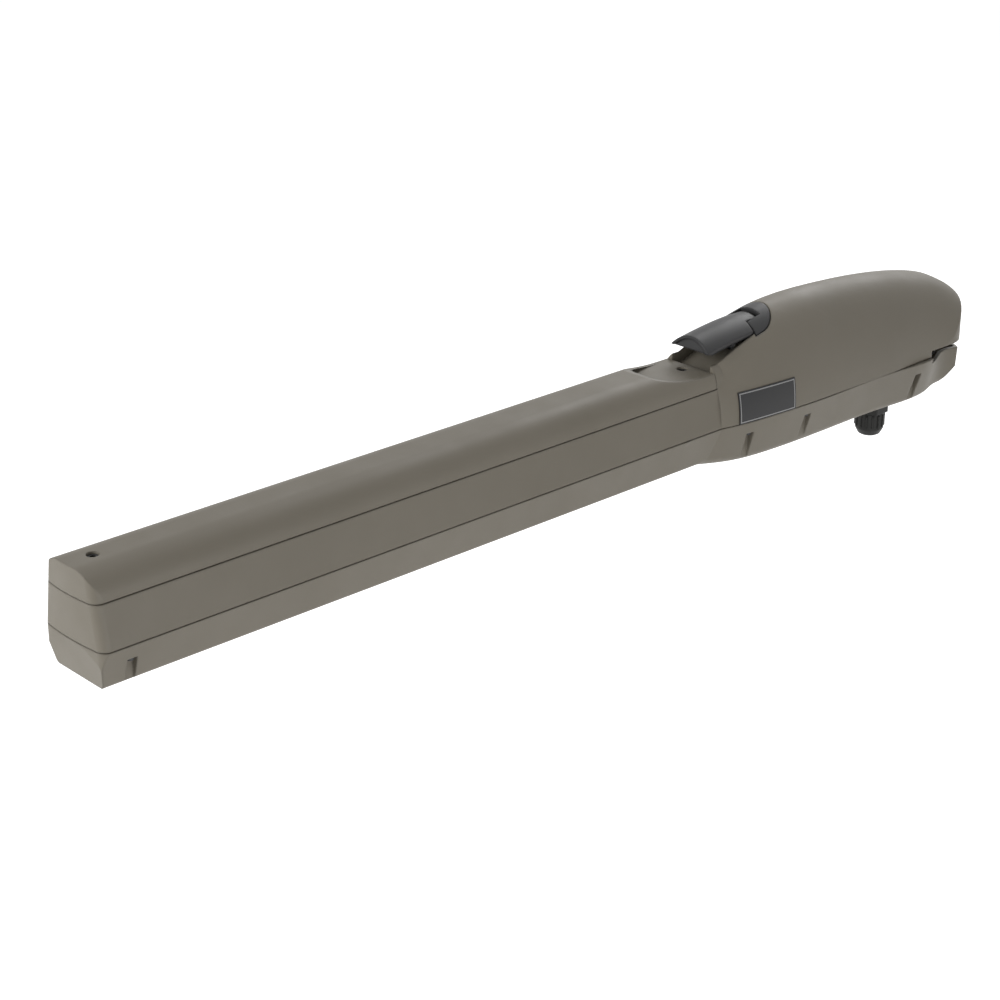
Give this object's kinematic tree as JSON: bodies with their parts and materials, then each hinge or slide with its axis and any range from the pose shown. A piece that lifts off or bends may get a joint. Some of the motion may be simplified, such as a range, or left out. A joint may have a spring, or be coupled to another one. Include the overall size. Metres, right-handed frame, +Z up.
{
  "type": "swing gate opener",
  "caption": "Enclosed lead-screw swing gate opener: slim arm with a motor head, release lever, rear post pivot and a carriage that slides under the arm.",
  "frame": {"origin": "on the rear pivot axis, at the height of the lower joint line", "axes": "+X along the arm towards its gate end, +Y towards the side with the nameplate, +Z up, against the way the pivot pin leaves"},
  "size_m": [0.914, 0.0958, 0.1506],
  "materials": {
    "casing_grey": "fine-textured warm grey",
    "lever_grey": "satin dark grey",
    "black_plastic": "satin black",
    "plate_dark": "satin dark grey",
    "rubber": "matte black",
    "zinc_steel": "bright zinc plated",
    "machined_steel": "turned and oiled",
    "bearing_steel": "ground",
    "motor_steel": "black painted",
    "cast_alloy": "die cast",
    "brass": "turned",
    "magnet": "sintered, dark",
    "copper_core": "laminated iron with copper winding"
  },
  "bodies": {
    "housing": {"lower_casing": "casing_grey", "upper_casing": "casing_grey", "top_lid": "casing_grey", "lid_screws": "zinc_steel", "casing_screws": "zinc_steel", "release_base": "lever_grey", "lever_pin": "zinc_steel", "fork_guides": "zinc_steel", "gear_plate": "cast_alloy", "gear_bearing": "bearing_steel", "thrust_bearing": "bearing_steel", "front_bearing": "bearing_steel", "chassis": "cast_alloy", "rear_yoke": "cast_alloy", "yoke_bushes": "brass", "end_stops": "rubber", "limit_switches": "black_plastic", "terminal_block": "black_plastic", "motor_can": "motor_steel", "motor_cap": "black_plastic", "motor_magnets": "magnet", "motor_bearings": "bearing_steel", "cable_gland": "black_plastic", "gland_nut": "black_plastic", "gland_seal": "rubber", "gland_locknut": "black_plastic", "nameplate": "plate_dark"},
    "lever": {"release_lever": "lever_grey"},
    "fork": {"clutch_fork": "cast_alloy"},
    "sleeve": {"clutch_sleeve": "machined_steel"},
    "gear": {"screw_gear": "machined_steel"},
    "rotor": {"motor_rotor": "copper_core", "motor_pinion": "brass"},
    "screw": {"lead_screw": "machined_steel", "screw_collar": "machined_steel"},
    "carriage": {"carriage": "cast_alloy", "drive_nut": "brass"}
  },
  "joints": [
    {"name": "release_lever", "type": "hinge", "parent": "housing", "child": "lever", "pos_m": [0.24, 0, 0.066], "axis": [0, -1, 0], "range_deg": [-12, 13]},
    {"name": "fork_slide", "type": "slide", "parent": "housing", "child": "fork", "axis": [1, 0, 0], "range_m": [-0.00304, 0.0033]},
    {"name": "screw_spin", "type": "hinge", "parent": "housing", "child": "screw", "pos_m": [0.5, 0, -0.006], "axis": [1, 0, 0], "range_deg": [-18000, 0]},
    {"name": "carriage_slide", "type": "slide", "parent": "housing", "child": "carriage", "axis": [1, 0, 0], "range_m": [-0.4, 0]},
    {"name": "gear_spin", "type": "hinge", "parent": "housing", "child": "gear", "pos_m": [0.21, 0, -0.006], "axis": [1, 0, 0], "range_deg": [-18000, 0]},
    {"name": "sleeve_spin", "type": "hinge", "parent": "fork", "child": "sleeve", "pos_m": [0.235, 0, -0.006], "axis": [1, 0, 0], "range_deg": [-18000, 0]},
    {"name": "rotor_spin", "type": "hinge", "parent": "housing", "child": "rotor", "pos_m": [0.13, 0, 0.026], "axis": [1, 0, 0], "range_deg": [0, 54000]}
  ],
  "couplings": [
    {"joint": "fork_slide", "follows": "release_lever", "m_per_rad": 0.0145},
    {"joint": "carriage_slide", "follows": "screw_spin", "m_per_rad": 0.0012732},
    {"joint": "gear_spin", "follows": "screw_spin", "ratio": 1},
    {"joint": "sleeve_spin", "follows": "screw_spin", "ratio": 1},
    {"joint": "rotor_spin", "follows": "screw_spin", "ratio": -3}
  ]
}
